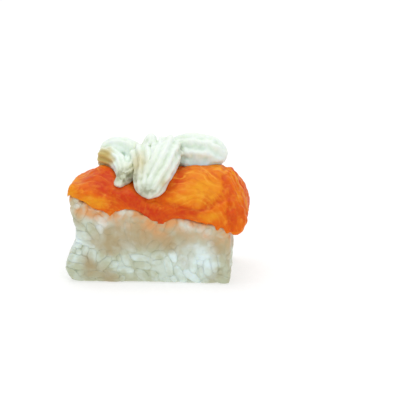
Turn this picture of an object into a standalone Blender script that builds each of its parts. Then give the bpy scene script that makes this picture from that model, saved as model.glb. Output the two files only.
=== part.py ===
"""Pressed salmon sushi: a cut block of rice, a slice of salmon over it and a line of piped cream.

Metres, +Z up. The origin is the middle of the rice block's flat base. The long side runs along X,
and the cut side that faces the viewer looks along -Y.
"""

import math

import bmesh
import bpy
from mathutils import Vector, noise

MM = 0.001

# Rice block: a brick pressed in a mould, higher at its left end.
RICE_LENGTH = 46 * MM
RICE_DEPTH = 28 * MM
RICE_EDGE = 2.2 * MM
RICE_FOOT_EDGE = 0.8 * MM  # the edge is sharper at the base, where the block is pressed flat
RICE_CUTS = (20, 12, 8)
RICE_TOP = (  # (place along X, height of the top)
    (-23 * MM, 26.2 * MM),
    (-20 * MM, 25.2 * MM),
    (-17.5 * MM, 23.4 * MM),
    (-15 * MM, 22.0 * MM),
    (-11.5 * MM, 21.8 * MM),
    (-8.5 * MM, 22.7 * MM),
    (-4.5 * MM, 22.5 * MM),
    (-1.5 * MM, 20.9 * MM),
    (1.5 * MM, 19.3 * MM),
    (4.5 * MM, 19.2 * MM),
    (8 * MM, 20.0 * MM),
    (11 * MM, 19.6 * MM),
    (14.5 * MM, 18.5 * MM),
    (18 * MM, 18.0 * MM),
    (23 * MM, 16.8 * MM),
)
RICE_LEFT_END = (  # (height, how far the left end is pinched in)
    (0 * MM, 0.6 * MM),
    (5.4 * MM, -1.2 * MM),
    (9 * MM, 0.8 * MM),
    (13 * MM, 2.2 * MM),
    (17 * MM, 1.6 * MM),
    (24 * MM, -0.4 * MM),
)
LEFT_END_ROUND = 3.4 * MM  # how far rice and salmon are drawn in at their back left corner
RICE_LUMP = 0.55 * MM
RICE_LUMP_SPAN = 4.2 * MM

# Salmon: one slice, thick at the right where it hangs over the end, with a lobe at the left.
SALMON_LEFT = -23.3 * MM
SALMON_RIGHT = 27.6 * MM
SALMON_DEPTH = 27.4 * MM
SALMON_EDGE = 2.4 * MM
SALMON_CUTS = (27, 14, 3)
SALMON_SINK = 2.4 * MM  # how far its plain body reaches into the rice before the rice is cut out
SALMON_CROWN = (  # (place along X, height along the middle)
    (-23.3 * MM, 26.5 * MM),
    (-22.2 * MM, 27.0 * MM),
    (-20.5 * MM, 27.5 * MM),
    (-18 * MM, 28.7 * MM),
    (-15 * MM, 30.6 * MM),
    (-12.5 * MM, 30.9 * MM),
    (-9.5 * MM, 29.8 * MM),
    (-4.5 * MM, 28.2 * MM),
    (1.5 * MM, 28.4 * MM),
    (7 * MM, 30.3 * MM),
    (14 * MM, 31.0 * MM),
    (20 * MM, 30.5 * MM),
    (22.4 * MM, 29.7 * MM),
    (23.8 * MM, 28.2 * MM),
    (26 * MM, 24.9 * MM),
    (27.6 * MM, 21.4 * MM),
)
SALMON_RIM_RISE = 2.2 * MM  # the least height of the rim over the rice along the two cut sides
SALMON_RIM_SHARE = 0.18  # how much of the slice's thickness the rim adds to that
SALMON_RIDGE = 1.0 * MM  # how far behind the middle the crown runs
FRONT_SLOPE = 2.1  # exponents of the fall from the crown to the front and back rims
BACK_SLOPE = 3.2
SALMON_LUMP = 0.35 * MM
SALMON_LUMP_SPAN = 6 * MM

# Cream: one rope from a star nozzle, laid in a zigzag and drawn off to the right.
STAR_POINTS = 10
STAR_STEPS = 2  # points of the section between a ridge and the next
STAR_GROOVE = 0.15  # depth of the grooves as a share of the radius
ROPE_STEPS = 11
ROPE_TWIST = math.radians(35)
END_FLAT = 0.04  # square of the share of the radius left at a run's very end
ROPE_RUNS = (  # (x, y, radius, lift) in mm at each run's start, middle and end
    ((-4.6, 6.4, 3.9, 0.9), (-9.4, 8.0, 4.4, 0.8), (-15.5, 7.2, 4.0, 0.9)),
    ((-15.4, 5.8, 3.6, 0.9), (-8.9, -1.8, 2.5, 0.85), (-8.9, -11.4, 1.6, 0.5)),
    ((-8.5, -9.3, 1.8, 0.45), (-5.8, -1.2, 3.2, 0.6), (-4.6, 5.8, 4.2, 0.8)),
    ((-4.4, 6.2, 4.2, 0.9), (-1.7, -3.2, 4.0, 1.0), (-1.5, -12.3, 2.6, 0.35)),
    ((-0.3, -12.0, 3.0, 0.35), (3.6, -3.4, 4.5, 1.0), (3.4, 6.2, 4.5, 1.15)),
    ((-0.7, 4.2, 3.4, 1.4), (-0.7, 4.8, 2.6, 3.2), (-0.7, 5.4, 1.3, 8.7)),
    ((3.3, 6.8, 5.1, 0.6), (13.2, 7.0, 6.0, 0.42), (20.9, 6.4, 4.8, 0.45)),
)

GAP = 0.3 * MM  # kept between touching pieces

RICE_COLOUR = (0.62, 0.62, 0.52, 1.0)
SALMON_COLOUR = (0.80, 0.20, 0.03, 1.0)
CREAM_COLOUR = (0.84, 0.86, 0.76, 1.0)


def clear_scene():
    """Empty the scene of its startup objects."""
    for obj in list(bpy.data.objects):
        bpy.data.objects.remove(obj)


def new_collection(name, shown):
    """A collection under the scene's own."""
    made = bpy.data.collections.new(name)
    made.hide_render = not shown
    bpy.context.scene.collection.children.link(made)
    return made


def new_material(name, colour, roughness):
    """A plain Principled material."""
    made = bpy.data.materials.new(name)
    made.use_nodes = True
    shader = made.node_tree.nodes["Principled BSDF"]
    shader.inputs["Base Color"].default_value = colour
    shader.inputs["Roughness"].default_value = roughness
    shader.inputs["Metallic"].default_value = 0.0
    return made


def smooth_value(stations, place):
    """The value at a place of a smooth curve through (place, value) stations."""
    places = [at for at, _ in stations]
    values = [value for _, value in stations]
    if place <= places[0]:
        return values[0]
    if place >= places[-1]:
        return values[-1]
    last = len(stations) - 1
    i = max(k for k in range(last) if places[k] <= place)

    def slope(k):
        before, after = max(k - 1, 0), min(k + 1, last)
        return (values[after] - values[before]) / (places[after] - places[before])

    span = places[i + 1] - places[i]
    t = (place - places[i]) / span
    return (
        values[i] * (1 + 2 * t) * (1 - t) ** 2
        + values[i + 1] * t * t * (3 - 2 * t)
        + slope(i) * span * t * (1 - t) ** 2
        - slope(i + 1) * span * t * t * (1 - t)
    )


def eased(share):
    """A smooth step from 0 to 1."""
    share = min(1.0, max(0.0, share))
    return share * share * (3 - 2 * share)


def gridded_cube(cuts):
    """A cube from -1 to 1 with its faces cut into a grid, finer towards the edges."""
    cube = bmesh.new()
    bmesh.ops.create_cube(cube, size=2.0)
    for axis, count in enumerate(cuts):
        along = [e for e in cube.edges if abs(e.verts[0].co[axis] - e.verts[1].co[axis]) > 1.0]
        bmesh.ops.subdivide_edges(cube, edges=along, cuts=count, use_grid_fill=True)
    for vertex in cube.verts:
        for axis in range(3):
            u = vertex.co[axis]
            vertex.co[axis] = 1.3 * u - 0.3 * u**3
    return cube


def rounded(point, half, edge):
    """The place and the outward direction of a cube's point on a box with rounded edges."""
    full = Vector(u * h for u, h in zip(point, half))
    inner = Vector(max(edge - h, min(h - edge, c)) for c, h in zip(full, half))
    outward = (full - inner).normalized()
    return inner + outward * edge, outward


def as_object(name, bm, material, collection):
    """A mesh object from a bmesh, shaded smooth."""
    bmesh.ops.recalc_face_normals(bm, faces=bm.faces)
    mesh = bpy.data.meshes.new(name)
    bm.to_mesh(mesh)
    bm.free()
    mesh.shade_smooth()
    mesh.materials.append(material)
    made = bpy.data.objects.new(name, mesh)
    collection.objects.link(made)
    return made


def rice_top(x):
    """Height of the rice block's top at x."""
    return smooth_value(RICE_TOP, x)


def drawn_in(x, y):
    """How far a point of the rice or the salmon moves in to round the back left corner."""
    return LEFT_END_ROUND * eased(-2 * x / RICE_LENGTH) * eased(2 * y / RICE_DEPTH)


def make_rice(collection):
    """The rice block: a rounded brick with a sloping top, a pinched left end and lumpy sides."""
    half = Vector((RICE_LENGTH / 2, RICE_DEPTH / 2, 10 * MM))
    bm = gridded_cube(RICE_CUTS)
    for vertex in bm.verts:
        edge = RICE_FOOT_EDGE + (RICE_EDGE - RICE_FOOT_EDGE) * eased(vertex.co.z + 1)
        place, outward = rounded(vertex.co, half, edge)
        share = (place.z + half.z) / (2 * half.z)
        place.z = share * rice_top(place.x)
        lump = noise.noise(place / RICE_LUMP_SPAN) * RICE_LUMP
        sides = eased(share / 0.12) * eased((1 - share) / 0.2)
        place.x += outward.x * lump * sides
        place.y += outward.y * lump * sides
        place.z += max(outward.z, 0.0) * lump * 0.5
        to_left = eased(-place.x / half.x)
        place.x += to_left * smooth_value(RICE_LEFT_END, place.z) + drawn_in(place.x, place.y)
        vertex.co = place
    return as_object("rice", bm, new_material("rice", RICE_COLOUR, 0.45), collection)


def salmon_top(x, y):
    """Height of the salmon's upper face at (x, y)."""
    across = (y - SALMON_RIDGE) / (SALMON_DEPTH / 2)
    fall = abs(across) ** (FRONT_SLOPE if across < 0 else BACK_SLOPE)
    crown = smooth_value(SALMON_CROWN, x)
    rim = rice_top(x) + SALMON_RIM_RISE + SALMON_RIM_SHARE * (crown - rice_top(x))
    rim = min(rim, crown)
    return crown - (crown - rim) * min(fall, 1.0)


def make_salmon(collection, rice_cutter):
    """The salmon slice: a soft slab shaped from above, with the rice cut out of its underside."""
    centre = (SALMON_LEFT + SALMON_RIGHT) / 2
    half = Vector(((SALMON_RIGHT - SALMON_LEFT) / 2, SALMON_DEPTH / 2, 4 * MM))
    bm = gridded_cube(SALMON_CUTS)
    for vertex in bm.verts:
        place, outward = rounded(vertex.co, half, SALMON_EDGE)
        share = (place.z + half.z) / (2 * half.z)
        place.x += centre
        low = rice_top(place.x) - SALMON_SINK
        place.z = low + share * (salmon_top(place.x, place.y) - low)
        lump = noise.noise(place / SALMON_LUMP_SPAN) * SALMON_LUMP
        place.x += drawn_in(place.x, place.y)
        vertex.co = place + outward * lump * eased(share / 0.4)
    made = as_object("salmon", bm, new_material("salmon", SALMON_COLOUR, 0.3), collection)
    add_boolean(made, rice_cutter, "DIFFERENCE")
    return made


def add_boolean(obj, other, operation):
    """A Boolean modifier with the exact solver."""
    boolean = obj.modifiers.new(f"{operation.lower()} {other.name}", "BOOLEAN")
    boolean.operation = operation
    boolean.solver = "EXACT"
    boolean.use_self = True
    boolean.object = other


def make_cutter(obj, collection):
    """A hidden copy of a piece's plain body, grown by the gap, that cuts its neighbour."""
    cutter = bpy.data.objects.new(obj.name + "_cutter", obj.data)
    collection.objects.link(cutter)
    cutter.hide_render = True
    cutter.display_type = "WIRE"
    grow = cutter.modifiers.new("grow", "DISPLACE")
    grow.mid_level = 0.0
    grow.strength = GAP
    return cutter


def make_star(collection):
    """The star nozzle's outline, of radius 1, as a closed curve."""
    outline = bpy.data.curves.new("star", "CURVE")
    outline.dimensions = "2D"
    count = STAR_POINTS * (STAR_STEPS + 1)
    spline = outline.splines.new("POLY")
    spline.points.add(count - 1)
    spline.use_cyclic_u = True
    for i, point in enumerate(spline.points):
        angle = 2 * math.pi * i / count
        ridge = 0.5 + 0.5 * math.cos(STAR_POINTS * angle)
        radius = 1 - STAR_GROOVE * (1 - ridge)
        point.co = (radius * math.cos(angle), radius * math.sin(angle), 0, 1)
    star = bpy.data.objects.new("star", outline)
    star.hide_render = True
    collection.objects.link(star)
    return star


def rope_points(run):
    """(place, radius) along one run: an arc through its three points, with rounded ends."""
    marks = []
    for x, y, radius, lift in run:
        height = salmon_top(x * MM, y * MM) + lift * radius * MM
        marks.append(Vector((x * MM, y * MM, height, radius * MM)))
    start, middle, end = marks
    handle = 2 * middle - (start + end) / 2
    length = (start - middle).xyz.length + (middle - end).xyz.length
    for i in range(ROPE_STEPS + 1):
        t = 0.5 - 0.5 * math.cos(math.pi * i / ROPE_STEPS)
        mark = start * (1 - t) ** 2 + handle * 2 * t * (1 - t) + end * t * t
        to_end = min(t, 1 - t) * length / mark.w
        cap = math.sqrt(max(END_FLAT, 1 - (1 - min(1.0, to_end)) ** 2))
        yield mark.xyz, mark.w * cap


def make_run(index, star, collection):
    """One run of the piped rope as a closed mesh: the star swept along the run's curve."""
    path = bpy.data.curves.new(f"run_{index}", "CURVE")
    path.dimensions = "3D"
    path.bevel_mode = "OBJECT"
    path.bevel_object = star
    path.use_fill_caps = True
    spline = path.splines.new("POLY")
    spline.points.add(ROPE_STEPS)
    for i, (place, radius) in enumerate(rope_points(ROPE_RUNS[index])):
        spline.points[i].co = (*place, 1)
        spline.points[i].radius = radius
        spline.points[i].tilt = ROPE_TWIST * i / ROPE_STEPS
    swept = bpy.data.objects.new(path.name, path)
    collection.objects.link(swept)
    bpy.context.view_layer.update()
    graph = bpy.context.evaluated_depsgraph_get()
    mesh = bpy.data.meshes.new_from_object(swept.evaluated_get(graph))
    bpy.data.objects.remove(swept)
    bm = bmesh.new()
    bm.from_mesh(mesh)
    bmesh.ops.remove_doubles(bm, verts=bm.verts, dist=1e-6)
    bpy.data.meshes.remove(mesh)
    return bm


def make_cream(collection, helpers, salmon_cutter):
    """The piped cream: the zigzag's runs joined into one body and seated on the salmon."""
    star = make_star(helpers)
    material = new_material("cream", CREAM_COLOUR, 0.4)
    made = as_object("cream", make_run(0, star, helpers), material, collection)
    for index in range(1, len(ROPE_RUNS)):
        bm = make_run(index, star, helpers)
        run = as_object(f"cream_run_{index}", bm, material, helpers)
        run.hide_render = True
        run.display_type = "WIRE"
        add_boolean(made, run, "UNION")
    add_boolean(made, salmon_cutter, "DIFFERENCE")
    return made


def main():
    """Build the three pieces."""
    clear_scene()
    sushi = new_collection("pressed_salmon_sushi", shown=True)
    helpers = new_collection("cutters", shown=False)
    rice = make_rice(sushi)
    salmon = make_salmon(sushi, make_cutter(rice, helpers))
    make_cream(sushi, helpers, make_cutter(salmon, helpers))


main()
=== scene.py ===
"""Pressed salmon sushi, finished: packed rice grains, a salmon slice with its flakes and piped cream.

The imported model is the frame. Three soft foods take the place of its plain solids, each in the
space that its solid holds. Everything is in metres, +Z up, with the long cut side facing -Y.
"""

from __future__ import annotations

import logging
import math
from dataclasses import dataclass
from enum import Enum
from typing import Any, Iterator, Mapping, Sequence

import bmesh
import bpy
import numpy as np
from mathutils import Matrix, Quaternion, Vector, noise
from mathutils.bvhtree import BVHTree


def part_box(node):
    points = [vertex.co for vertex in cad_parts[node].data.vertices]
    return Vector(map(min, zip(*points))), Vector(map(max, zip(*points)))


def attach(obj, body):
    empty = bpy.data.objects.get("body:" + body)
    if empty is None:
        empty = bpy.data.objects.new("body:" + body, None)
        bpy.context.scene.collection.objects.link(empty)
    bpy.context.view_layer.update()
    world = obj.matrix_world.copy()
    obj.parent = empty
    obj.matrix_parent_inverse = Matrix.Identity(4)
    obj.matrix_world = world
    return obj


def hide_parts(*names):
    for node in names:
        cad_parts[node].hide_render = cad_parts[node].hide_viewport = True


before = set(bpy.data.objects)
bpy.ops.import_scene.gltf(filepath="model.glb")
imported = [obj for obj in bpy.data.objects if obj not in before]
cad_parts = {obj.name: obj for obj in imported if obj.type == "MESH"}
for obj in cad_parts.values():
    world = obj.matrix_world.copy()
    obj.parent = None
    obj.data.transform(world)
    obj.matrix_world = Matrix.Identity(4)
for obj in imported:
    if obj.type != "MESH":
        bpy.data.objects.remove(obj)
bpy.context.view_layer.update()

log = logging.getLogger("pressed_salmon_sushi")

MM = 0.001
BODY = "root"
PHOTO_WIDTH = 400  # pixels
NOISE_SEED = 5  # noise_vector starts from the clock unless it is given a seed
MERGE = 1e-6  # how near points are merged, in metres
TINY = 1e-6  # keeps a division from being by zero

Colour = tuple[float, float, float]
Mesh = bpy.types.Mesh
Socket = bpy.types.NodeSocket


class Food(Enum):
    """The three foods. Each value is the name of the food's CAD node and of its material slot."""

    RICE = "rice"
    SALMON = "salmon"
    CREAM = "cream"


# ----------------------------------------
# Small helpers
# ----------------------------------------


def rgba(colour: Colour) -> tuple[float, float, float, float]:
    """A colour with full alpha."""
    return (*colour, 1.0)


def coordinates(mesh: Mesh) -> np.ndarray:
    """The mesh's points as an (N, 3) array, in metres."""
    points = np.empty(len(mesh.vertices) * 3, np.float32)
    mesh.vertices.foreach_get("co", points)
    return points.reshape(-1, 3).astype(float)


def directions(mesh: Mesh) -> np.ndarray:
    """The mesh's vertex normals as an (N, 3) array."""
    normals = np.empty(len(mesh.vertices) * 3, np.float32)
    mesh.vertex_normals.foreach_get("vector", normals)
    return normals.reshape(-1, 3).astype(float)


def place_points(mesh: Mesh, points: np.ndarray) -> None:
    """Put the mesh's points at the given places."""
    mesh.vertices.foreach_set("co", points.astype(np.float32).ravel())
    mesh.update()


def store(mesh: Mesh, name: str, values: np.ndarray) -> None:
    """Keep one number for each point of the mesh, for its material to read by name."""
    kept = mesh.attributes.new(name, "FLOAT", "POINT")
    kept.data.foreach_set("value", values.astype(np.float32))


def noise_at(points: np.ndarray, span: float, seed: float = 0.0) -> np.ndarray:
    """Smooth noise at each point.

    Args:
        points: (N, 3) places in metres.
        span: the size of the noise's lumps, in metres.
        seed: a shift that gives another noise.

    Returns:
        N values, about -1 to 1.
    """
    scaled = points / span + seed
    return np.array([noise.noise(Vector(p)) for p in scaled])


def wander(points: np.ndarray, span: float, seed: float = 0.0) -> np.ndarray:
    """A smooth random direction at each of (N, 3) points, with lumps of a given span."""
    scaled = points / span + seed
    return np.array([noise.noise_vector(Vector(p)) for p in scaled])


def smoothed(values: np.ndarray, low: float, high: float) -> np.ndarray:
    """A smooth step from 0 at low to 1 at high."""
    share = np.clip((values - low) / (high - low), 0, 1)
    return share * share * (3 - 2 * share)


def nearest(tree: BVHTree, point: Vector) -> tuple[Vector, Vector, float]:
    """The nearest place on a surface, its normal, and how far outside it the point is."""
    place, normal, _, _ = tree.find_nearest(point)
    return place, normal, (point - place).dot(normal)


def top_of(tree: BVHTree, x: float, y: float) -> float:
    """Height of a surface's top at (x, y), in metres."""
    place, _, _, _ = tree.ray_cast(Vector((x, y, 1.0)), Vector((0, 0, -1)))
    return place.z if place else 0.0


def merged(mesh: Mesh) -> bmesh.types.BMesh:
    """A copy of a mesh with its loose faces joined."""
    bm = bmesh.new()
    bm.from_mesh(mesh)
    bmesh.ops.remove_doubles(bm, verts=bm.verts, dist=MERGE)
    return bm


def surface_of(mesh: Mesh) -> BVHTree:
    """A mesh's surface, to measure against."""
    bm = merged(mesh)
    tree = BVHTree.FromBMesh(bm)
    bm.free()
    return tree


@dataclass(frozen=True)
class Patch:
    """A soft region of a food, in mm. Most have a twin at the back, in the same place."""

    middle: tuple[float, float, float]
    reach: tuple[float, float, float]
    share: float = 1.0
    edge: float = 1.0  # how sharply it ends: 1 is very soft, 3 is crisp
    twin: bool = True

    def mask(self, points: np.ndarray) -> np.ndarray:
        """The patch's share at each of (N, 3) places in mm."""
        folded = points.copy()
        if self.twin:
            folded[:, 1] = -np.abs(folded[:, 1])
        away = (folded - self.middle) / self.reach
        return self.share * np.exp(-((away**2).sum(axis=1) ** self.edge))


def masked(patches: Sequence[Patch], points: np.ndarray) -> np.ndarray:
    """How much of any of the patches lies at each of (N, 3) places in mm, from 0 to 1."""
    return np.clip(sum(patch.mask(points) for patch in patches), 0, 1)


def linked(name: str, data: bpy.types.ID) -> bpy.types.Object:
    """A new object in the scene."""
    made = bpy.data.objects.new(name, data)
    bpy.context.scene.collection.objects.link(made)
    return made


def remeshed(bm: bmesh.types.BMesh, voxel: float, rounds: int) -> Mesh:
    """One fine, even skin over everything in a bmesh.

    Args:
        bm: closed shapes, which may overlap. It is freed.
        voxel: the size of the skin's faces, in metres.
        rounds: how often the skin is smoothed.

    Returns:
        The new mesh, shaded smooth.
    """
    rough = bpy.data.meshes.new("rough")
    bm.to_mesh(rough)
    bm.free()
    carrier = linked("rough", rough)
    skin = carrier.modifiers.new("skin", "REMESH")
    skin.mode = "VOXEL"
    skin.voxel_size = voxel
    soft = carrier.modifiers.new("soft", "SMOOTH")
    soft.factor = 0.5
    soft.iterations = rounds
    graph = bpy.context.evaluated_depsgraph_get()
    mesh = bpy.data.meshes.new_from_object(carrier.evaluated_get(graph))
    bpy.data.objects.remove(carrier)
    bpy.data.meshes.remove(rough)
    mesh.shade_smooth()
    return mesh


def add_piece(name: str, mesh: Mesh, finish: bpy.types.Material, food: Food) -> bpy.types.Object:
    """Link a finished mesh as a piece that rides with the sushi.

    Args:
        name: the piece's name.
        mesh: its mesh, already in place.
        finish: its material.
        food: which food it is, which gives the CAD node it stands for.

    Returns:
        The piece's object.
    """
    mesh.name = name
    mesh.materials.clear()
    mesh.materials.append(finish)
    piece = linked(name, mesh)
    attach(piece, BODY)
    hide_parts(food.value)
    log.info("%s: %d faces", name, len(mesh.polygons))
    return piece


# ----------------------------------------
# Finishes
# ----------------------------------------


class Recipe:
    """A material's node tree, written as short lines."""

    def __init__(self, name: str) -> None:
        """Start a material of a given name with a Principled shader."""
        self.material = bpy.data.materials.new(name)
        self.material.use_nodes = True
        self.tree = self.material.node_tree
        self.shader = self.tree.nodes["Principled BSDF"]
        self.place = self.add("ShaderNodeTexCoord").outputs["Object"]

    def add(
        self, kind: str, sockets: Mapping[str | int, Any] | None = None, **settings: Any
    ) -> bpy.types.Node:
        """Add a node, with values or links for its inputs and settings for its own properties."""
        node = self.tree.nodes.new(kind)
        for name, value in settings.items():
            setattr(node, name, value)
        self.feed(node, sockets or {})
        return node

    def feed(self, node: bpy.types.Node, sockets: Mapping[str | int, Any]) -> None:
        """Set or link a node's inputs."""
        for name, value in sockets.items():
            if isinstance(value, Socket):
                self.tree.links.new(value, node.inputs[name])
            else:
                node.inputs[name].default_value = value

    def attribute(self, name: str) -> Socket:
        """A number that the mesh keeps at each point."""
        return self.add("ShaderNodeAttribute", attribute_name=name).outputs["Fac"]

    def stretched(self, scale: Sequence[float]) -> Socket:
        """Object coordinates times a factor along each axis."""
        return self.add("ShaderNodeMapping", {"Vector": self.place, "Scale": scale}).outputs[0]

    def cloud(self, span: float, detail: float = 2.0, where: Socket | None = None) -> Socket:
        """Noise from 0 to 1 with lumps of about a given size in metres."""
        sockets = {"Vector": where or self.place, "Scale": 1 / span, "Detail": detail}
        return self.add("ShaderNodeTexNoise", sockets).outputs["Fac"]

    def ranged(
        self, value: Socket, low: float, high: float, to: Sequence[float] = (0, 1)
    ) -> Socket:
        """A value's stretch from low to high, spread smoothly over another."""
        sockets = {"Value": value, "From Min": low, "From Max": high, "To Min": to[0], "To Max": to[1]}
        return self.add("ShaderNodeMapRange", sockets, interpolation_type="SMOOTHSTEP").outputs[0]

    def patchy(
        self, span: float, low: float, high: float, to: Sequence[float] = (0, 1), detail: float = 2.0
    ) -> Socket:
        """Noise with lumps of a span, stretched from low to high over another range."""
        return self.ranged(self.cloud(span, detail), low, high, to)

    def broken(self, name: str, span: float, low: float, high: float, least: float) -> Socket:
        """A number that the mesh keeps, broken up by noise down to the least share of it."""
        return self.times(self.attribute(name), self.patchy(span, low, high, (least, 1)))

    def times(self, first: Socket, second: Socket | float) -> Socket:
        """The product of two values."""
        return self.add("ShaderNodeMath", {0: first, 1: second}, operation="MULTIPLY").outputs[0]

    def plus(self, first: Socket, second: Socket | float) -> Socket:
        """The sum of two values."""
        return self.add("ShaderNodeMath", {0: first, 1: second}, operation="ADD").outputs[0]

    def mixed(self, share: Socket, first: Any, second: Any) -> Socket:
        """A colour from the first to the second as share goes from 0 to 1."""
        node = self.add("ShaderNodeMix", data_type="RGBA")
        self.feed(node, {0: share, 6: first, 7: second})
        return node.outputs[2]

    def lines(self, value: Socket, width: float) -> Socket:
        """1 wherever a value is a whole number, falling to 0 as it gets a width away from one."""
        away = self.add("ShaderNodeMath", {0: value, 1: 0.5}, operation="PINGPONG").outputs[0]
        return self.ranged(away, 0.0, width, (1, 0))

    def bumped(self, height: Socket, distance: float, under: Socket | None = None) -> Socket:
        """A normal bent by a height map whose full range is a distance in metres."""
        sockets: dict[str, Any] = {"Height": height, "Distance": distance, "Strength": 1.0}
        if under is not None:
            sockets["Normal"] = under
        return self.add("ShaderNodeBump", sockets).outputs[0]

    def finish(
        self, colour: Socket, normal: Socket, fixed: Mapping[str, Any]
    ) -> bpy.types.Material:
        """The finished material: its colour, its normal, and what is the same all over."""
        self.feed(self.shader, {"Base Color": colour, "Normal": normal, **fixed})
        return self.material


@dataclass(frozen=True)
class RiceFinish:
    """Moist cooked grains: grey-white and glassy, beige where they are pressed to a paste, and stained, with
    painted highlights and painted shade in places.
    """

    glassy: Colour = (0.54, 0.58, 0.42)
    milky: Colour = (0.80, 0.94, 0.93)
    beige: Colour = (0.465, 0.385, 0.22)
    stained: Colour = (0.76, 0.38, 0.14)
    roughness: float = 0.34
    bleed: float = 0.35 * MM

    def material(self) -> bpy.types.Material:
        """Build the material. It reads the grains' tone, paste and stain; painted highlights and painted
        shade are carried in the tone and the paste.
        """
        recipe = Recipe("rice")
        mottle = recipe.patchy(2.4 * MM, 0.3, 0.7, (-0.25, 0.25))
        # The tone holds painted highlights and painted shade as well as each grain's milkiness.
        tone = recipe.plus(recipe.attribute("tone"), mottle)
        cooked = recipe.mixed(tone, rgba(self.glassy), rgba(self.milky))
        # The beige paste also paints shade at the right end and the bottom edge.
        paste_and_shade = recipe.broken("paste_and_shade", 3.0 * MM, 0.2, 0.55, 0.55)
        coloured = recipe.mixed(paste_and_shade, cooked, rgba(self.beige))
        stain = recipe.broken("stain", 3.2 * MM, 0.3, 0.65, 0.25)
        coloured = recipe.mixed(stain, coloured, rgba(self.stained))
        normal = recipe.bumped(recipe.cloud(0.9 * MM), 0.06 * MM)
        fixed = {
            "Roughness": self.roughness,
            "IOR": 1.38,
            "Specular IOR Level": 0.45,
            "Subsurface Weight": 0.5,
            "Subsurface Radius": (1.0, 0.9, 0.7),
            "Subsurface Scale": self.bleed,
            "Coat Weight": 0.25,
            "Coat Roughness": 0.12,
        }
        return recipe.finish(coloured, normal, fixed)


@dataclass(frozen=True)
class SalmonFinish:
    """Moist salmon flesh: orange, yellower along the facets, with a painted highlight on the lit dome, and
    redder on the left lobe and the right end, with painted shade in the folds, under the cream and along the
    lower edge.
    """

    orange: Colour = (0.79, 0.155, 0.008)
    # Dark red flesh; the same colour paints shade in the folds, under the cream and along the lower edge.
    deep_and_shade: Colour = (0.64, 0.055, 0.011)
    # Yellower flesh; the same colour paints a highlight on the lit top of the dome.
    pale: Colour = (0.86, 0.34, 0.018)
    fat: Colour = (0.90, 0.38, 0.04)
    roughness: float = 0.42
    bleed: float = 1.2 * MM

    def material(self) -> bpy.types.Material:
        """Build the material. It reads how dark and how pale the flesh is, with painted shade in the first
        and a painted highlight in the second, how clear it is, and its flakes.
        """
        recipe = Recipe("salmon")
        blotch = recipe.patchy(4.5 * MM, 0.35, 0.7, (-0.22, 0.25), 4.0)
        fine = recipe.cloud(0.8 * MM, 4.0, recipe.stretched((1.0, 0.35, 1.0)))
        speckle = recipe.patchy(1.4 * MM, 0.35, 0.65, (-0.16, 0.16), 3.0)
        # Redder flesh, and painted shade under the cream, along the lower edge and in the folds.
        deep_and_shade = recipe.plus(recipe.plus(recipe.attribute("deep_and_shade"), blotch), speckle)
        dapple = recipe.patchy(2.4 * MM, 0.3, 0.7, (-0.2, 0.2), 3.0)
        # Yellower flesh, and a painted highlight on the lit dome.
        pale = recipe.plus(recipe.attribute("pale"), dapple)
        flesh = recipe.mixed(pale, rgba(self.orange), rgba(self.pale))
        flesh = recipe.mixed(deep_and_shade, flesh, rgba(self.deep_and_shade))
        turn = recipe.plus(recipe.attribute("turn"), recipe.patchy(2.6 * MM, 0.3, 0.7, (0, 0.25)))
        seams = recipe.broken("seams", 3.4 * MM, 0.35, 0.65, 0.1)
        dusk = recipe.times(seams, recipe.lines(recipe.plus(turn, 0.6), 0.22))
        flesh = recipe.mixed(recipe.times(dusk, 0.4), flesh, rgba(self.deep_and_shade))
        bright = recipe.times(seams, recipe.lines(turn, 0.18))
        flecks = recipe.patchy(2.2 * MM, 0.55, 0.72, (0, 0.55))
        fat = recipe.plus(bright, recipe.times(flecks, recipe.attribute("clear")))
        flesh = recipe.mixed(fat, flesh, rgba(self.fat))
        grain = recipe.bumped(fine, 0.10 * MM)
        normal = recipe.bumped(recipe.cloud(2.0 * MM, 3.0), 0.20 * MM, grain)
        fixed = {
            "Roughness": self.roughness,
            "IOR": 1.34,
            "Specular IOR Level": 0.10,
            "Subsurface Weight": 0.35,
            "Subsurface Radius": (1.0, 0.30, 0.08),
            "Subsurface Scale": self.bleed,
            "Coat Weight": 0.03,
            "Coat Roughness": 0.15,
        }
        return recipe.finish(flesh, normal, fixed)


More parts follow.
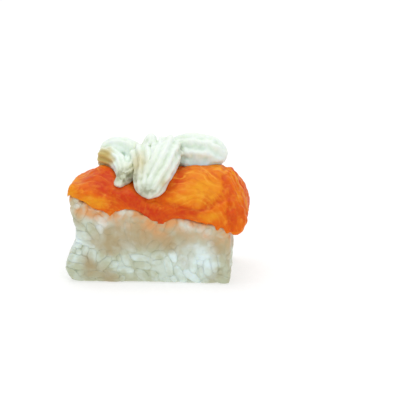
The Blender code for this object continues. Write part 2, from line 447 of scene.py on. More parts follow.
@dataclass(frozen=True)
class CreamFinish:
    """Soft piped cream: off-white with a green cast, with painted olive and grey shade in its recesses,
    under its left end and at its tips, and a painted bluish fill light low over the salmon.
    """

    white: Colour = (0.845, 0.94, 0.845)
    shade: Colour = (0.50, 0.58, 0.42)
    # A painted fill light: a bluer, brighter white low on the rope near the salmon, against its orange
    # bounce and the shade underneath.
    painted_fill_light: Colour = (0.66, 0.98, 0.96)
    # Painted olive shade, in the recesses, under the left end and at the front tips.
    olive: Colour = (0.56, 0.44, 0.14)
    # Painted grey shade at the fingertips and in the groove beside the right finger.
    grey: Colour = (0.36, 0.37, 0.24)
    roughness: float = 0.5
    bleed: float = 2.0 * MM

    def material(self) -> bpy.types.Material:
        """Build the material. It reads how hollow the cream is, where olive and grey shade is painted on it,
        and how near the salmon it is, where a bluish fill light is painted.
        """
        recipe = Recipe("cream")
        hollow = recipe.times(recipe.attribute("hollow"), 0.6)
        cream = recipe.mixed(hollow, rgba(self.white), rgba(self.shade))
        # Painted fill light near the salmon.
        cream = recipe.mixed(recipe.attribute("low"), cream, rgba(self.painted_fill_light))
        # Painted olive shade.
        cream = recipe.mixed(recipe.attribute("olive_shade"), cream, rgba(self.olive))
        # Painted grey shade, broken up by noise.
        grey_shade = recipe.broken("grey_shade", 1.8 * MM, 0.38, 0.62, 0.35)
        cream = recipe.mixed(grey_shade, cream, rgba(self.grey))
        normal = recipe.bumped(recipe.cloud(0.8 * MM, 3.0), 0.12 * MM)
        fixed = {
            "Roughness": self.roughness,
            "IOR": 1.42,
            "Specular IOR Level": 0.35,
            "Subsurface Weight": 0.8,
            "Subsurface Radius": (1.0, 1.0, 0.85),
            "Subsurface Scale": self.bleed,
        }
        return recipe.finish(cream, normal, fixed)


@dataclass(frozen=True)
class FloorFinish:
    """A white light table: it glows a little, so shadows on it stay faint."""

    white: Colour = (0.50, 0.50, 0.50)
    tooth: Colour = (0.48, 0.48, 0.48)
    glow: float = 0.55
    roughness: float = 0.9

    def material(self) -> bpy.types.Material:
        """Build the material: a pale matt face with a trace of tooth."""
        recipe = Recipe("floor")
        tooth = recipe.patchy(2 * MM, 0.3, 0.7)
        white = recipe.mixed(tooth, rgba(self.white), rgba(self.tooth))
        normal = recipe.bumped(tooth, 0.01 * MM)
        fixed = {
            "Roughness": self.roughness,
            "Specular IOR Level": 0.1,
            "Emission Color": (1, 1, 1, 1),
            "Emission Strength": self.glow,
        }
        return recipe.finish(white, normal, fixed)


# ----------------------------------------
# Rice
# ----------------------------------------


@dataclass
class PackedRice:
    """The rice brick: cooked grains pressed together over a core of crushed rice."""

    wall: BVHTree  # the brick's outer shape
    salmon: BVHTree  # what lies on it and stains it
    low: Vector
    high: Vector
    length: float = 6.8 * MM
    width: float = 2.8 * MM
    height: float = 2.5 * MM
    depth: float = 3.9 * MM  # how deep the grains go before the core
    count: int = 640
    beads: int = 3  # balls along each grain that push the others away
    overlap: float = 0.76  # how near pressed grains come, as a share of their widths
    flush: float = 0.72  # how near a grain's middle comes to the wall, as a share of its half height
    soft: float = 0.4 * MM  # how far under the wall the pressing starts
    lie: float = 0.9  # how far the grains turn to lie along the wall
    rounds: int = 80
    sides: int = 10
    rings: int = 7
    order: Vector = Vector((1, 7, 49))  # a ball's faces come in any order, so they are sorted along this
    core_voxel: float = 0.6 * MM
    core_inset: float = 0.47 * MM
    paste_rise: float = 0.28 * MM  # how far the core comes up where the grains are crushed
    core_lump: float = 0.16 * MM
    core_tone: float = 0.2
    foot: float = 0.34 * MM  # how far it spreads at the bottom edge, where the brick stands
    bare: float = 4 * MM  # how far in from the front and back the salmon hides the top
    lengths: tuple[float, float] = (0.74, 1.06)  # the grains' sizes, as shares of the full one
    roll: float = 0.35  # how far the grains roll from lying flat
    bends: tuple[float, float] = (0.0, 0.32)
    tapers: tuple[float, float] = (0.02, 0.2)
    fats: tuple[float, float] = (0.88, 1.12)
    smears: tuple[tuple[float, float], ...] = ((0.8, 1.0), (0.5, 3.2))  # (share, reach in mm)
    seed: int = 11
    # Beige crushed paste; the patches at the right end and along the bottom edge also paint shade there.
    paste_and_shade: tuple[Patch, ...] = (
        Patch((-2, -14, 14.6), (11, 5, 5), 1, 1.5),
        Patch((12, -14, 14.4), (6, 5, 1.4), 0.6),
        Patch((6.2, -14, 10.8), (3.6, 5, 2.9), 0.55, 2),
        Patch((-11, -14, 10.3), (3, 5, 2.6), 0.9, 2),
        Patch((-15.2, -14, 12.6), (2.6, 5, 2.4), 0.5),
        Patch((22, -13, 12.5), (3.4, 8, 3.6), 0.8),
        Patch((23, -13, 6), (1.6, 6, 8), 0.45),
        Patch((-17.6, -14, 4.6), (1.8, 5, 3.6), 0.7, 1.5),
        Patch((-12, -14, 1), (9, 4, 1.4), 0.3),
    )
    peach: tuple[Patch, ...] = (
        Patch((-19, -14, 22.2), (5, 5, 2.6), 0.78),
        Patch((-14.5, -14, 19.8), (4, 5, 1.4), 0.5),
        Patch((-4.8, -14, 19), (5.5, 5, 2.2), 0.65),
        Patch((1.8, -14, 15.8), (5.5, 5, 2.6), 0.45),
        Patch((9.6, -14, 17.6), (3.5, 5, 1.8), 0.45),
        Patch((18, -14, 14.2), (5.5, 5, 2), 0.55),
    )
    # Brighter, milkier grains, which also paint highlights (glints) where the rice is lit.
    bright: tuple[Patch, ...] = (
        Patch((13, -14, 7.6), (6, 5, 5.4), 0.5, 2),
        Patch((14.6, -14, 8.4), (3.2, 5, 3.4), 0.2),
        Patch((-20.5, -14, 13), (2, 5, 3), 0.2),
        Patch((-12, -14, 17.8), (3, 5, 1.8), 0.7),
        Patch((-7.4, -14, 20.8), (3.2, 5, 1.2), 0.5),
        Patch((11, -14, 16.4), (2.4, 5, 2), 0.55),
    )
    # Painted shade: darker, glassier rice at the right end and low along the left and bottom edges.
    painted_shade: tuple[Patch, ...] = (
        Patch((22.6, -12, 6.5), (2.6, 8, 9), 1.4, 1.5),
        Patch((-17, -14, 3), (5, 5, 5), 0.4),
        Patch((-11, -14, 0.8), (8, 5, 2.2), 0.6),
    )

    def scatter(self) -> tuple[np.ndarray, np.ndarray, np.ndarray]:
        """Throw the grains into the layer over the core: their middles, long axes and sizes."""
        rng = np.random.default_rng(self.seed)
        places: list[Vector] = []
        axes: list[np.ndarray] = []
        while len(places) < self.count:
            point = Vector(rng.uniform(self.low, self.high))
            axis = rng.normal(size=3)
            _, normal, outside = nearest(self.wall, point)
            under_salmon = normal.z > 0.7 and abs(point.y) < self.high.y - self.bare
            if under_salmon or not -self.depth < outside < -self.height / 4:
                continue
            places.append(point)
            axes.append(axis - self.lie * np.array(normal) * (axis @ np.array(normal)))
        turned = np.array(axes)
        turned /= np.linalg.norm(turned, axis=1, keepdims=True)
        return np.array(places), turned, rng.uniform(*self.lengths, self.count)

    def settle(self, places: np.ndarray, axes: np.ndarray, sizes: np.ndarray) -> None:
        """Push the grains apart and off the walls until packed. Changes places and axes."""
        reach = (self.length - self.width) / 2
        along = np.linspace(-1.0, 1.0, self.beads)
        steps = along[None, :, None] * reach * sizes[:, None, None]
        for _ in range(self.rounds):
            beads = places[:, None] + axes[:, None] * steps
            push = self.apart(beads) + self.walled(beads)
            places += push.mean(axis=1)
            axes += (push * steps).sum(axis=1) / (2 * reach**2)
            axes /= np.linalg.norm(axes, axis=1, keepdims=True)

    def apart(self, beads: np.ndarray) -> np.ndarray:
        """How far beads of different grains push each other, for (grains, beads, 3) places."""
        points = beads.reshape(-1, 3)
        near = self.width * self.overlap
        squared = (points**2).sum(axis=1)
        gap = squared[:, None] + squared[None] - 2 * points @ points.T
        first, second = np.nonzero(np.triu(gap < near**2, 1))
        other = first // self.beads != second // self.beads
        first, second = first[other], second[other]
        between = points[first] - points[second]
        distance = np.linalg.norm(between, axis=1, keepdims=True) + 1e-9  # never zero
        shove = between / distance * (near - distance) * 0.5
        push = np.zeros_like(points)
        np.add.at(push, first, shove)
        np.add.at(push, second, -shove)
        return push.reshape(beads.shape)

    def walled(self, beads: np.ndarray) -> np.ndarray:
        """How far the brick's wall and the core push each bead."""
        push = np.zeros_like(beads)
        margin = self.height / 2 * self.flush
        for index in np.ndindex(beads.shape[:2]):
            _, normal, outside = nearest(self.wall, Vector(beads[index]))
            kept = min(max(outside, -self.depth), -margin)
            push[index] = normal * (kept - outside)
        return push

    def pressed(self, points: np.ndarray) -> np.ndarray:
        """Grains' points, pressed flush where they would stand out of the brick."""
        found = points.copy()
        for index in range(len(points)):
            place, normal, outside = nearest(self.wall, Vector(points[index]))
            if outside > -self.soft:
                left = self.soft * math.exp(-(outside + self.soft) / self.soft)
                found[index] = place - normal * left
        return found

    def frames(self, places: np.ndarray, axes: np.ndarray, rng: np.random.Generator) -> np.ndarray:
        """How each grain is turned, with its flatter side towards the wall.

        Args:
            places: the grains' middles.
            axes: their long axes.
            rng: where the small rolls come from.

        Returns:
            (grains, 3, 3) rotations that take a grain's own x, y and z to the brick's.
        """
        normals = np.array([nearest(self.wall, Vector(place))[1] for place in places])
        flat = normals + rng.normal(scale=self.roll, size=normals.shape)
        flat -= axes * (flat * axes).sum(axis=1, keepdims=True)
        flat /= np.linalg.norm(flat, axis=1, keepdims=True)
        return np.stack([flat, np.cross(axes, flat), axes], axis=2)

    def shapes(self, unit: np.ndarray, sizes: np.ndarray, rng: np.random.Generator) -> np.ndarray:
        """Each grain's own shape: plump with blunt ends, a little bent, and slimmer at one end.

        Args:
            unit: (V, 3) points of a ball of radius 1.
            sizes: the grains' lengths as a share of the full one.
            rng: where the grains' differences come from.

        Returns:
            (grains, V, 3) points with the long axis along z.
        """
        count = len(sizes)
        bend = rng.uniform(*self.bends, (count, 1))
        taper = rng.uniform(*self.tapers, (count, 1))
        fat = rng.uniform(*self.fats, count)
        x, y, z = unit.T
        blunt = np.sqrt((1 - np.abs(z) ** 3) / np.maximum(1 - z * z, 1e-4))
        slim = (1 - taper * z) * blunt
        shaped = np.stack([x * slim + bend * (0.4 - z * z), y * slim, z + 0 * slim], axis=2)
        half = np.stack([self.height * fat, self.width * fat, self.length * sizes], axis=1) / 2
        return shaped * half[:, None]

    def grains(self) -> Mesh:
        """All the grains as one mesh of separate closed bodies."""
        places, axes, sizes = self.scatter()
        self.settle(places, axes, sizes)
        rng = np.random.default_rng(self.seed + 1)
        ball = bmesh.new()
        bmesh.ops.create_uvsphere(ball, u_segments=self.sides, v_segments=self.rings, radius=1.0)
        ball.faces.sort(key=lambda face: face.calc_center_median().dot(self.order))
        mesh = bpy.data.meshes.new("rice_grains")
        ball.to_mesh(mesh)
        unit = coordinates(mesh)
        heap = bmesh.new()
        for _ in range(self.count):
            heap.from_mesh(mesh)
        ball.free()
        heap.to_mesh(mesh)
        heap.free()
        frames = self.frames(places, axes, rng)
        turned = np.einsum("gij,gvj->gvi", frames, self.shapes(unit, sizes, rng))
        place_points(mesh, self.pressed((turned + places[:, None]).reshape(-1, 3)))
        self.keep_masks(mesh, np.repeat(rng.uniform(size=self.count), len(unit)))
        mesh.shade_smooth()
        return mesh

    def keep_masks(self, mesh: Mesh, tone: np.ndarray) -> None:
        """Keep where rice is milky, crushed and stained, with painted highlights and painted shade in its
        tone. Tone is how milky each point's grain is.
        """
        points = coordinates(mesh)
        scaled = points / MM
        bright = masked(self.bright, scaled)
        # The tone carries painted highlights from the bright patches and painted shade from the shaded ones.
        store(mesh, "tone", np.clip(0.1 + 0.65 * tone + bright - masked(self.painted_shade, scaled), 0, 1))
        # The paste mask also carries painted shade at the right end and the bottom edge.
        store(mesh, "paste_and_shade", self.crushed(scaled) * (1 - bright))
        away = np.array([self.salmon.find_nearest(Vector(p))[3] for p in points]) / MM
        near = sum(share * np.exp(-away / reach) for share, reach in self.smears)
        store(mesh, "stain", np.clip(near + masked(self.peach, scaled), 0, 1))

    def crushed(self, scaled: np.ndarray) -> np.ndarray:
        """How far the rice is crushed to a paste at each of (N, 3) places in mm, from 0 to 1, with painted
        shade at the right end and along the bottom edge.
        """
        warped = scaled + 1.2 * wander(scaled, 3.5, 4.0)
        here_and_there = 0.6 * smoothed(noise_at(scaled, 7.0, 9.0), 0.1, 0.5)
        return np.clip(masked(self.paste_and_shade, warped) + here_and_there, 0, 1)

    def core(self, node: bpy.types.Object) -> Mesh:
        """The brick's body under the grains: its own shape, shrunk and lumpy."""
        mesh = remeshed(merged(node.data), self.core_voxel, 4)
        points = coordinates(mesh)
        scaled = points / MM
        inset = self.core_inset - self.paste_rise * self.crushed(scaled)
        inset -= self.foot * (1 - smoothed(scaled[:, 2], 0.2, 1.6))
        inset -= self.core_lump * (noise_at(scaled, 2.4) + 0.5 * noise_at(scaled, 1.1, 5.0))
        points -= directions(mesh) * inset[:, None]
        points[:, 2] = np.maximum(points[:, 2], self.low.z)
        place_points(mesh, points)
        self.keep_masks(mesh, np.full(len(points), self.core_tone))
        return mesh

    def build(self, node: bpy.types.Object) -> None:
        """Make and dress the rice.

        Args:
            node: the brick's CAD node.
        """
        finish = RiceFinish().material()
        add_piece("rice_grains", self.grains(), finish, Food.RICE)
        add_piece("rice_core", self.core(node), finish, Food.RICE)


# ----------------------------------------
# Salmon
# ----------------------------------------


@dataclass(frozen=True)
class Fold:
    """A crease that runs across the slice from its front to its back. Sizes are in mm."""

    route: tuple[tuple[float, float], ...]  # (x, z) along the front
    depth: float
    width: float
    # How much redder the crease is painted: painted shade in the fold.
    red: float

    def nearness(self, points: np.ndarray) -> np.ndarray:
        """1 in the crease, falling to 0 away from it, at each of (N, 3) places in mm."""
        flat = points[:, [0, 2]]
        best = np.full(len(flat), np.inf)
        for start, end in zip(self.route, self.route[1:]):
            a, b = np.array(start), np.array(end)
            along = np.clip((flat - a) @ (b - a) / ((b - a) @ (b - a)), 0, 1)
            best = np.minimum(best, np.linalg.norm(flat - a - along[:, None] * (b - a), axis=1))
        return np.exp(-((best / self.width) ** 2))


@dataclass
class SalmonSlice:
    """The salmon: one slice with fine flakes over the dome and the lobe, folds and a ragged edge."""

    node: bpy.types.Object
    rice: BVHTree  # the brick that it lies on
    draped_voxel: float = 0.4 * MM
    voxel: float = 0.28 * MM
    rounds: int = 16
    last_rounds: int = 6
    depth: float = 13.7  # half the slice's width, in mm
    end: float = 23.0  # where the rice ends at the right, in mm
    hem: float = 3.0  # height of the hanging rim, in mm
    rim: tuple[float, float] = (2.5, 3.2)  # how far in the rim starts from the ends and sides, in mm
    flare: float = 0.24  # how the hanging end curls up, past flare_from
    flare_from: float = 1.2  # how far past the rice's end that starts, in mm
    inside: float = 3.0  # how far inside its edges the rice's top is measured, in mm
    lip: float = 0.20  # how far the rim's outer face stands off the rice, in mm
    under: float = -0.24  # how far its inner face does: it is sunk among the grains
    hang: tuple[tuple[float, float], ...] = (  # (x, how far the rim hangs down there) in mm
        (-23.4, 0.3), (-20.0, 0.5), (-18.1, 0.4), (-16.2, 0.8), (-12.8, 0.9),
        (-10.8, 2.5), (-9.2, 1.5), (-4.8, 1.4), (-2.6, 1.5), (-1.4, 2.3),
        (4.6, 2.1), (6.8, 1.3), (9.0, 0.7), (12.7, 0.5), (14.2, 0.7),
        (18.0, 0.6), (19.3, 2.6), (20.5, 0.6), (21.7, 2.6), (23.0, 0.6),
    )
    left_hang: float = 1.3  # how much further it hangs over the middle of the left end, in mm
    shoulder: float = 1.2  # how far the left end's upper edge is raised, in mm
    shoulder_at: float = -22.3  # where that edge is, in mm
    shoulder_reach: float = 1.3  # and how far to each side of it, in mm
    dome: tuple[float, float] = (11.0, 17.0)  # the middle that the dome's flakes arch round, (x, z) in mm
    lobe: tuple[float, float] = (-15.0, 14.5)
    flake: float = 1.15  # thickness of one flake, in mm
    flake_step: float = 0.16  # how far one flake stands over the next, in mm
    streak: float = 1.7  # width of a streak at the right end, in mm
    streaked: tuple[float, float] = (20.6, 22.8)  # where the flakes turn to streaks, in mm
    folds: tuple[Fold, ...] = (
        Fold(
            ((-0.5, 24.6), (4.0, 23.0), (8.0, 22.4), (11.2, 22.0), (15.0, 22.1), (17.3, 22.8), (20.8, 24.4)),
            0.6, 0.75, 0.55,
        ),
        Fold(((20.6, 31), (21.2, 28), (21.9, 24), (22.6, 20), (23, 16)), 0.45, 0.8, 0.55),
        Fold(((2.6, 24), (5.6, 26.4), (8, 28.8), (9.2, 31.2)), 0.30, 1.5, 0.55),
        Fold(((-13.4, 30.6), (-12.2, 28), (-11.2, 25.6), (-9.6, 23)), 0.30, 1, 0.45),
    )
    # Mostly painted shade, in the saddle and the band under the cream and along the lower edge, and also
    # redder flesh on the left lobe and the right end.
    red: tuple[Patch, ...] = (
        Patch((-4, -12.5, 24.2), (6, 8, 3.2), 0.95, 1.4),
        Patch((3, -13.5, 19.8), (7.5, 5, 2.4), 1, 1.4),
        Patch((-11.8, -7, 29.6), (2.2, 6, 2.2), 0.7, 1.4),
        Patch((26, -8, 21), (3, 9, 8), 0.22),
        Patch((-9.5, -11, 26.8), (4.5, 5, 2.6), 0.5),
        Patch((22.3, -10.5, 24), (0.9, 5, 2.6), 0.8),
        Patch((12, -13.5, 21.2), (3.4, 4, 1.2), 0.5),
        Patch((-15.2, -9, 28.6), (4.6, 9, 3), 0.68),
    )
    # Yellower flesh at the thin edges and low along the front, and a painted highlight on the lit dome facet
    # and the top of the dome.
    yellow_and_lit: tuple[Patch, ...] = (
        Patch((15.6, -11, 26.3), (7.4, 7, 3.6), 1, 1.6),
        Patch((7.5, -13, 24.4), (3.6, 5, 1), 0.6, 1.4),
        Patch((-22.9, -9, 26.4), (3.4, 9, 3.8), 1, 2.4),
        Patch((-16.4, -13.5, 23.4), (5.2, 4, 1.9), 1, 1.6),
        Patch((14, -5, 31), (8, 6, 1.8), 0.65),
        Patch((17, -13.5, 19.8), (4.4, 4, 1.4), 0.8, 1.6),
        Patch((24.6, -9, 24.3), (1.4, 5, 1.5), 0.8),
        Patch((24.6, -10, 19), (1.3, 5, 2), 0.6),
    )

    def slack(self, scaled: np.ndarray) -> np.ndarray:
        """How far the rim hangs down at each of (N, 3) places in mm.

        The back's rim is the front's turned round, and both have small notches.
        """
        x, y = scaled[:, 0], scaled[:, 1]
        places, lengths = np.array(self.hang).T
        front = np.interp(x, places, lengths)
        back = 0.9 + 0.5 * np.interp(-0.9 * x, places, lengths)
        left = self.left_hang * smoothed(-x, 20.0, 22.0) * smoothed(y, -13.0, -10.0)
        flat = scaled * (1.0, 1.0, 0.0)
        notches = 0.25 * noise_at(flat, 1.5, 2.0) + 0.2 * noise_at(flat, 3.7, 6.0)
        return np.where(y < 0, front, back) + left + notches

    def draped(self) -> Mesh:
        """The slice's skin, even and fine, with its rim let down raggedly over the rice."""
        mesh = remeshed(merged(self.node.data), self.draped_voxel, self.rounds)
        points = coordinates(mesh)
        scaled = points / MM
        far_x, far_y = self.end - self.inside, self.depth - self.inside
        inside_x = np.clip(scaled[:, 0], -far_x, far_x)
        inside_y = np.clip(scaled[:, 1], -far_y, far_y)
        tops = np.array([top_of(self.rice, x * MM, y * MM) for x, y in zip(inside_x, inside_y)]) / MM
        height = scaled[:, 2] - tops
        far = np.abs(scaled)
        outer = np.maximum(far[:, 1] - self.depth + self.rim[1], far[:, 0] - self.end + self.rim[0])
        share = np.clip(1 - height / self.hem, 0, 1) ** 1.5 * smoothed(outer, 0.0, 1.6)
        scaled[:, 2] -= np.clip(self.slack(scaled), -0.3, None) * share
        beside = (scaled[:, 0] - self.shoulder_at) / self.shoulder_reach
        scaled[:, 2] += self.shoulder * np.exp(-(beside**2)) * smoothed(height, 0.6, 2.2)
        past = np.clip(scaled[:, 0] - self.end - self.flare_from, 0, None)
        scaled[:, 2] += self.flare * past**2 * smoothed(-scaled[:, 2], -20.0, -15.0)
        down = directions(mesh)[:, 2]
        stand = self.under + (self.lip - self.under) * smoothed(down, -0.8, 0.1)
        for index, point in enumerate(scaled):
            place, normal, outside = nearest(self.rice, Vector(point * MM))
            lacking = stand[index] - outside / MM
            if lacking > 0:
                scaled[index] += np.array(normal) * lacking
        place_points(mesh, scaled * MM)
        bm = bmesh.new()
        bm.from_mesh(mesh)
        return remeshed(bm, self.voxel, self.last_rounds)

    def arch(self, scaled: np.ndarray) -> np.ndarray:
        """Distance from the middle of the nearer muscle block, in mm, wavering a little."""
        found = []
        for middle, flat in ((self.dome, 1.35), (self.lobe, 1.15)):
            x = (scaled[:, 0] - middle[0]) / flat
            z = scaled[:, 2] - middle[1]
            found.append(np.sqrt(x * x + z * z + (0.35 * scaled[:, 1]) ** 2))
        return np.minimum(*found) + 1.2 * noise_at(scaled, 7.0, 3.0) + 0.12 * noise_at(scaled, 2.0, 8.0)

    def relief(self, mesh: Mesh) -> None:
        """Raise the flakes and streaks, press in the folds, and keep the flesh's masks on the mesh."""
        points = coordinates(mesh)
        scaled = points / MM
        right = smoothed(scaled[:, 0], *self.streaked)
        across = (scaled[:, 0] + 0.6 * scaled[:, 1]) / self.streak + 0.5 * noise_at(scaled, 5.0, 1.0)
        turn = np.where(right > 0.5, across, self.arch(scaled) / self.flake)
        share = turn % 1.0
        depth = self.flake_step * (1 + right) * (0.6 + 0.4 * noise_at(scaled, 3.0, 21.0))
        step = depth * (np.sin(math.pi * share) ** 0.7 - 0.6)
        warped = scaled + 0.9 * wander(scaled, 2.8, 5.0)
        fold = np.zeros(len(points))
        # Painted shade: the red mask darkens the saddle under the cream, the lower edge and the folds,
        # besides marking redder flesh.
        red = masked(self.red, warped)
        for one in self.folds:
            near = one.nearness(warped)
            fold += one.depth * near
            # The creases are painted redder: painted shade in each fold.
            red = np.maximum(red, one.red * near)
        band = noise_at(np.stack([across * self.streak, 0 * across, 0.12 * scaled[:, 2]], axis=1), 1.9, 2.0)
        red = np.maximum(red, 0.55 * right * smoothed(band, -0.05, 0.3))
        # The yellow mask is partly a painted highlight on the lit dome.
        yellow_and_lit = np.maximum(masked(self.yellow_and_lit, warped), 0.7 * right * smoothed(-band, 0.05, 0.3))
        lumps = 0.28 * noise_at(scaled, 4.0, 12.0) + (0.12 + 0.3 * right) * noise_at(scaled, 1.7, 15.0)
        top = smoothed(scaled[:, 2], 15.0, 18.0)
        amount = (step + lumps - fold) * (0.3 + 0.7 * top)
        place_points(mesh, points + directions(mesh) * (amount * MM)[:, None])
        # The dark mask is partly painted shade; the pale one is partly a painted highlight.
        store(mesh, "deep_and_shade", np.clip(red, 0, 1))
        store(mesh, "pale", np.clip(yellow_and_lit * (1 - 0.7 * red), 0, 1))
        store(mesh, "turn", turn)
        clear = 1 - 0.8 * np.clip(red, 0, 1)
        store(mesh, "clear", clear)
        store(mesh, "seams", clear * (1 - 0.4 * right) * (0.35 + 0.65 * smoothed(scaled[:, 2], 26.5, 29.5)))

    def build(self) -> BVHTree:
        """Make and dress the slice.

        Returns:
            Its finished surface, which the cream is laid on.
        """
        mesh = self.draped()
        self.relief(mesh)
        add_piece("salmon_slice", mesh, SalmonFinish().material(), Food.SALMON)
        return surface_of(mesh)


# ----------------------------------------
# Cream
# ----------------------------------------

Mark = tuple[float, float, float, float]  # (x, y, radius, lift): where the rope is, in mm


@dataclass(frozen=True)
class Run:
    """One run of the rope, within 1 mm of the CAD's, with how it is ribbed and how it stands."""

    start: Mark
    middle: Mark
    end: Mark
    groove: float = 0.20  # how deep its ribs are, as a share of its radius
    foot: float = 0.5  # how far its lower half spreads, from round at 0 to upright sides at 1


@dataclass
class PipedCream:
    """One rope of cream from a star nozzle, laid in a zigzag over the salmon and drawn off."""

    salmon: BVHTree
    points: int = 9
    steps: int = 36
    twist: float = math.radians(40)
    voxel: float = 0.24 * MM
    rounds: int = 7
    sink: float = 0.15  # how far it sinks into the salmon, in mm
    glow: float = 1.8  # how far up it the salmon's light reaches, in mm
    soft: float = 0.34  # how far the rope's slumps and swells go, in mm
    rough: float = 0.18  # how far its broken ridges go, in mm
    rougher: float = 0.26  # how much further where it is knobbly, in mm
    groove: float = 0.20  # how deep a groove is fully hollow, in mm
    blur: int = 6  # how many edges away a groove is felt
    runs: tuple[Run, ...] = (
        Run((-4.6, 6.4, 3.9, 0.9), (-9.4, 8, 4.4, 0.8), (-16.1, 7.2, 4, 0.9), 0.10),
        Run((-16, 5.8, 3.6, 0.9), (-8.9, -1.8, 2.5, 0.85), (-8.9, -11.4, 1.6, 0.5)),
        Run((-8.5, -9.3, 1.8, 0.45), (-5.8, -1.2, 3.2, 0.6), (-4.6, 5.8, 4.2, 0.8)),
        Run((-4.4, 6.2, 4.2, 0.9), (-1.7, -3.2, 4, 1), (-1.5, -12.3, 2.6, 0.35)),
        Run((-0.6, -11.9, 2.8, 0.35), (3.5, -3.4, 4.5, 1), (3.4, 6.2, 4.5, 1.15)),
        Run((-0.7, 4.2, 3.4, 1.4), (-0.7, 4.8, 2.6, 3.2), (-0.7, 5.4, 1.3, 8.7)),
        Run((3.3, 6.8, 5.1, 0.6), (13.2, 7, 6, 0.42), (20.9, 6.4, 4.8, 0.45), 0.15, 0.95),
    )
    # Painted olive shade: under the left end of the rope, in the recess between the fingers, under the right
    # finger's edge, and a faint olive cast over the left finger.
    olive_shade: tuple[Patch, ...] = (
        Patch((-13.8, 2, 32.3), (3.8, 6, 2.9), 1, 2.5, twin=False),
        Patch((-3.3, -5, 32.4), (2.5, 6, 3.8), 0.55, 1.5),
        Patch((4.1, -11.5, 28.6), (1.3, 3, 1.2), 0.6),
        Patch((-3, -8, 31), (9, 6, 6), 0.08, 2, twin=False),
        Patch((-7.6, -8, 30.5), (3, 6, 4), 0.14, 2, twin=False),
    )
    # Painted grey shade at the tips of the fingers and in the groove between the right finger and the tail.
    grey_shade: tuple[Patch, ...] = (
        Patch((-6.6, -9, 30), (4.4, 4, 2.4), 1, 2),
        Patch((-1, -12.5, 26.8), (4.4, 3.4, 1.8), 0.9),
        Patch((8.2, -1, 35), (0.9, 6, 4), 0.5),
    )
    knobbly: tuple[Patch, ...] = (
        Patch((15, -1.5, 35), (7.5, 9, 6), 1, 1.5),
        Patch((-7.5, -9, 30), (3, 5, 3), 1, 1.5),
    )

    def sections(self, run: Run) -> Iterator[Matrix]:
        """A matrix for each step of a run, which puts the nozzle's outline of radius 1 there."""
        marks = []
        for x, y, radius, lift in (run.start, run.middle, run.end):
            height = top_of(self.salmon, x * MM, y * MM) + lift * radius * MM
            marks.append(Vector((x * MM, y * MM, height, radius * MM)))
        start, middle, end = marks
        handle = 2 * middle - (start + end) / 2
        length = (start - middle).xyz.length + (middle - end).xyz.length
        turn = Quaternion()
        last = Vector((0, 0, 1))
        for i in range(self.steps + 1):
            t = 0.5 - 0.5 * math.cos(math.pi * i / self.steps)
            mark = start * (1 - t) ** 2 + handle * 2 * t * (1 - t) + end * t * t
            heading = ((handle - start) * (1 - t) + (end - handle) * t).xyz.normalized()
            turn = last.rotation_difference(heading) @ turn
            last = heading
            to_end = min(t, 1 - t) * length / mark.w
            cap = math.sqrt(max(0.02, 1 - (1 - min(1.0, to_end)) ** 2))
            spun = turn @ Quaternion((0, 0, 1), self.twist * i / self.steps)
            yield Matrix.LocRotScale(mark.xyz, spun, Vector((1, 1, 1)) * mark.w * cap)

    def sweep(self, bm: bmesh.types.BMesh, run: Run) -> None:
        """Draw the nozzle's star along a run as a closed body, added to a bmesh."""
        made = bmesh.ops.create_circle(bm, cap_ends=True, segments=self.points * 6, radius=1.0)["verts"]
        for vertex in made:
            angle = math.atan2(vertex.co.y, vertex.co.x)
            vertex.co *= 1 - run.groove * (0.5 - 0.5 * math.cos(self.points * angle))
        before = Matrix.Identity(4)
        rings: list[tuple[list[bmesh.types.BMVert], Vector]] = []
        cap = made[0].link_faces[0]
        for index, matrix in enumerate(self.sections(run)):
            if index:
                grown = bmesh.ops.extrude_face_region(bm, geom=[cap])["geom"]
                made = [part for part in grown if isinstance(part, bmesh.types.BMVert)]
                if index > 1:
                    bmesh.ops.delete(bm, geom=[cap], context="FACES_ONLY")
                cap = next(part for part in grown if isinstance(part, bmesh.types.BMFace))
            bmesh.ops.transform(bm, matrix=matrix @ before.inverted(), verts=made)
            before = matrix
            rings.append((made, matrix.translation))
        for ring, middle in rings:
            self.spread(ring, middle, run.foot)

    def spread(self, ring: Sequence[bmesh.types.BMVert], middle: Vector, foot: float) -> None:
        """Let the lower half of a ring spread towards upright sides, as soft cream does."""
        for vertex in ring:
            out = vertex.co - middle
            if out.z < 0:
                wider = min(out.length / max(out.xy.length, TINY), 2.0)
                out.xy *= 1 + foot * (wider - 1)
                vertex.co = middle + out

    def slump(self, mesh: Mesh) -> None:
        """Make the rope as uneven as soft cream: it swells, slumps, and its ridges break up."""
        points = coordinates(mesh)
        scaled = points / MM
        amount = self.soft * (noise_at(scaled, 3.4, 3.0) + 0.6 * noise_at(scaled, 2.1, 13.0))
        amount += (self.rough + self.rougher * masked(self.knobbly, scaled)) * noise_at(scaled, 1.6, 27.0)
        bent = 0.5 * wander(scaled, 6.0, 2.0) + directions(mesh) * amount[:, None]
        place_points(mesh, points + bent * MM)

    def seat(self, mesh: Mesh) -> None:
        """Let the cream sink onto the salmon, and keep how hollow and low each point is and where olive and
        grey shade is painted on it.
        """
        points = coordinates(mesh)
        normals = directions(mesh)
        low = np.zeros(len(points))
        for index, point in enumerate(points):
            top = top_of(self.salmon, point[0], point[1]) - self.sink * MM
            low[index] = math.exp(-max(point[2] - top, 0.0) / (self.glow * MM))
            points[index, 2] = max(point[2], top)
        place_points(mesh, points)
        scaled = points / MM
        front = smoothed(-scaled[:, 1], 6.0, 9.0)
        olive_shade = masked(self.olive_shade, scaled + 0.8 * wander(scaled, 2.5, 1.0))
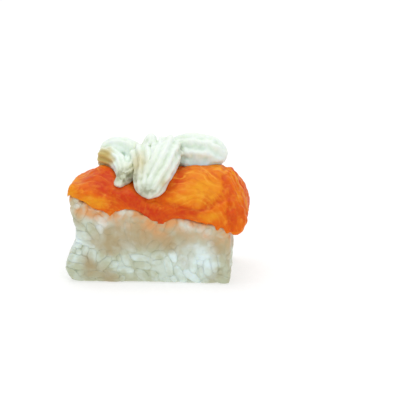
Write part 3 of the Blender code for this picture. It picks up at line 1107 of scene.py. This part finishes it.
        # Near the salmon, the back of the rope gets a painted fill light and the front tips get painted
        # olive shade.
        store(mesh, "low", low * (1 - front) * (1 - olive_shade))
        store(mesh, "olive_shade", np.maximum(olive_shade, 0.45 * low * front))
        store(mesh, "grey_shade", masked(self.grey_shade, scaled))
        store(mesh, "hollow", self.hollow(mesh, points, normals))

    def hollow(self, mesh: Mesh, points: np.ndarray, normals: np.ndarray) -> np.ndarray:
        """How far each point lies in a groove, from 0 to 1."""
        edges = np.empty(len(mesh.edges) * 2, np.int32)
        mesh.edges.foreach_get("vertices", edges)
        edges = edges.reshape(-1, 2)
        around = points.copy()
        for _ in range(self.blur):
            total = np.zeros_like(around)
            count = np.zeros(len(around))
            for one, two in ((0, 1), (1, 0)):
                np.add.at(total, edges[:, one], around[edges[:, two]])
                np.add.at(count, edges[:, one], 1)
            around = total / np.maximum(count, 1)[:, None]
        sunk = ((around - points) * normals).sum(axis=1) / (self.groove * MM)
        return np.clip(sunk, 0, 1)

    def build(self) -> None:
        """Make and dress the cream."""
        bm = bmesh.new()
        for run in self.runs:
            self.sweep(bm, run)
        bmesh.ops.recalc_face_normals(bm, faces=bm.faces)
        mesh = remeshed(bm, self.voxel, self.rounds)
        self.slump(mesh)
        self.seat(mesh)
        add_piece("piped_cream", mesh, CreamFinish().material(), Food.CREAM)


# ----------------------------------------
# Studio
# ----------------------------------------


@dataclass
class Studio:
    """A white table, soft light from above and in front, and the camera at the photograph's angle."""

    azimuth: float = math.radians(3)
    elevation: float = math.radians(15)
    distance: float = 0.45
    aim: Vector = Vector((13.7 * MM, 0, 20.9 * MM))
    pixels_per_metre: float = 3478.0
    sensor: float = 36.0
    table: float = 3.0  # half its side, in metres
    table_drop: float = 0.02 * MM
    fill: float = 0.66  # the light from all round
    lights: tuple[tuple[str, Vector, float, float], ...] = (  # (name, place, side, watts)
        ("above", Vector((-0.10, 0.44, 1.80)), 1.45, 13.5),
        ("window", Vector((0.18, -0.42, 0.42)), 0.10, 0.45),
    )

    def floor(self) -> None:
        """Lay the table."""
        bm = bmesh.new()
        bmesh.ops.create_grid(bm, x_segments=1, y_segments=1, size=self.table)
        bmesh.ops.translate(bm, verts=bm.verts, vec=(0, 0, -self.table_drop))
        mesh = bpy.data.meshes.new("floor")
        bm.to_mesh(mesh)
        bm.free()
        mesh.materials.append(FloorFinish().material())
        linked("floor", mesh)

    def softbox(self, name: str, place: Vector, size: float, power: float) -> None:
        """Hang a square white light that faces the food. Size is its side, in metres."""
        lamp = bpy.data.lights.new(name, "AREA")
        lamp.size = size
        lamp.energy = power
        hung = linked(name, lamp)
        hung.location = place
        hung.rotation_euler = (Vector((0, 0, 0.02)) - place).to_track_quat("-Z", "Y").to_euler()

    def sky(self, strength: float) -> None:
        """Fill from all round with even white light."""
        world = bpy.data.worlds.new("sky")
        world.use_nodes = True
        background = world.node_tree.nodes["Background"]
        background.inputs["Color"].default_value = (1, 1, 1, 1)
        background.inputs["Strength"].default_value = strength
        bpy.context.scene.world = world

    def camera(self) -> None:
        """Place the camera."""
        data = bpy.data.cameras.new("camera")
        data.sensor_width = self.sensor
        data.lens = self.sensor * self.pixels_per_metre * self.distance / PHOTO_WIDTH
        data.clip_start = 0.01
        level = math.cos(self.elevation)
        aside, towards = math.sin(self.azimuth) * level, -math.cos(self.azimuth) * level
        back = Vector((aside, towards, math.sin(self.elevation)))
        camera = linked("camera", data)
        camera.location = self.aim + back * self.distance
        camera.rotation_euler = (-back).to_track_quat("-Z", "Y").to_euler()
        bpy.context.scene.camera = camera

    def build(self) -> None:
        """Set up the table, the lights and the camera."""
        self.floor()
        self.sky(self.fill)
        for light in self.lights:
            self.softbox(*light)
        self.camera()
        bpy.context.scene.view_settings.view_transform = "Standard"


def main() -> None:
    """Build the studio and the three foods; each piece logs its face count."""
    logging.basicConfig(level=logging.INFO, format="%(name)s: %(message)s")
    noise.seed_set(NOISE_SEED)
    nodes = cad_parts
    Studio().build()
    rice, salmon = nodes[Food.RICE.value], nodes[Food.SALMON.value]
    low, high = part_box(Food.RICE.value)
    rice_wall = surface_of(rice.data)
    salmon_top = SalmonSlice(salmon, rice_wall).build()
    PackedRice(rice_wall, salmon_top, low, high).build(rice)
    PipedCream(salmon_top).build()


if __name__ == "__main__":
    main()
